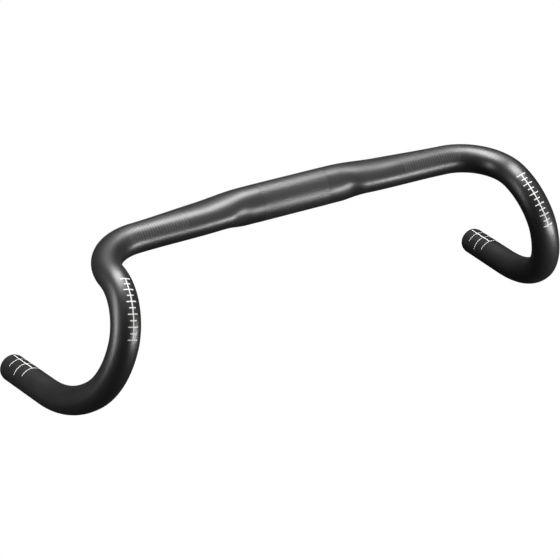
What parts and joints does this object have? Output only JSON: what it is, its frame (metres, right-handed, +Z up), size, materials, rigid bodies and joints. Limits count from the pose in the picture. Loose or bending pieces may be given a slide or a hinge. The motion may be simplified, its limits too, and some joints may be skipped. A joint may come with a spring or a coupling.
{
  "type": "drop handlebar",
  "caption": "Flared drop handlebar with flattened tops, a round stem clamp zone, lever and trim scales, and expanding end plugs.",
  "frame": {"origin": "middle of the round stem clamp zone, on its axis", "axes": "+X along the clamp axis to one side (the right as drawn), -Y forward, +Z up; the drop ends lie about level"},
  "size_m": [0.4868, 0.1771, 0.1538],
  "materials": {
    "satin_black": "satin black paint over a moulded composite",
    "bare_laminate": "bare moulded composite",
    "sleeve_alloy": "turned",
    "grip_coat": "gritty matt coat",
    "black_print": "matt black print",
    "stripe_print": "matt grey grip print",
    "white_print": "white print",
    "plug_plastic": "moulded",
    "plug_rubber": "moulded",
    "zinc_steel": "zinc plated",
    "black_steel": "blackened",
    "cone_brass": "turned"
  },
  "bodies": {
    "bar": {"top_bar": "satin_black", "left_drop": "satin_black", "right_drop": "satin_black", "left_joint_sleeve": "bare_laminate", "right_joint_sleeve": "bare_laminate", "clamp_core_sleeve": "sleeve_alloy", "clamp_grip_film": "grip_coat", "left_clamp_ring": "black_print", "right_clamp_ring": "black_print", "left_top_stripes": "stripe_print", "right_top_stripes": "stripe_print", "left_lever_scale": "white_print", "right_lever_scale": "white_print", "left_trim_scale": "white_print", "right_trim_scale": "white_print"},
    "left_plug": {"left_plug_cap": "plug_plastic", "left_plug_expander": "plug_rubber", "left_plug_washer": "zinc_steel"},
    "left_screw": {"left_plug_screw": "black_steel"},
    "left_cone": {"left_plug_cone": "cone_brass"},
    "right_plug": {"right_plug_cap": "plug_plastic", "right_plug_expander": "plug_rubber", "right_plug_washer": "zinc_steel"},
    "right_screw": {"right_plug_screw": "black_steel"},
    "right_cone": {"right_plug_cone": "cone_brass"}
  },
  "joints": [
    {"name": "left_plug_pull", "type": "slide", "parent": "bar", "child": "left_plug", "axis": [-0.0935, 0.9952, -0.0292], "range_m": [0, 0.04]},
    {"name": "left_cone_draw", "type": "slide", "parent": "left_plug", "child": "left_cone", "axis": [0.0935, -0.9952, 0.0292], "range_m": [0, 0.0032]},
    {"name": "left_screw_turn", "type": "hinge", "parent": "left_plug", "child": "left_screw", "pos_m": [-0.23161, 0.07525, -0.12593], "axis": [-0.0935, 0.9952, -0.0292], "range_deg": [0, 1440]},
    {"name": "right_plug_pull", "type": "slide", "parent": "bar", "child": "right_plug", "axis": [0.0935, 0.9952, -0.0292], "range_m": [0, 0.04]},
    {"name": "right_cone_draw", "type": "slide", "parent": "right_plug", "child": "right_cone", "axis": [-0.0935, -0.9952, 0.0292], "range_m": [0, 0.0032]},
    {"name": "right_screw_turn", "type": "hinge", "parent": "right_plug", "child": "right_screw", "pos_m": [0.23161, 0.07525, -0.12593], "axis": [0.0935, 0.9952, -0.0292], "range_deg": [0, 1440]}
  ],
  "couplings": [
    {"joint": "left_screw_turn", "follows": "left_cone_draw", "rad_per_m": 7854},
    {"joint": "right_screw_turn", "follows": "right_cone_draw", "rad_per_m": 7854}
  ]
}
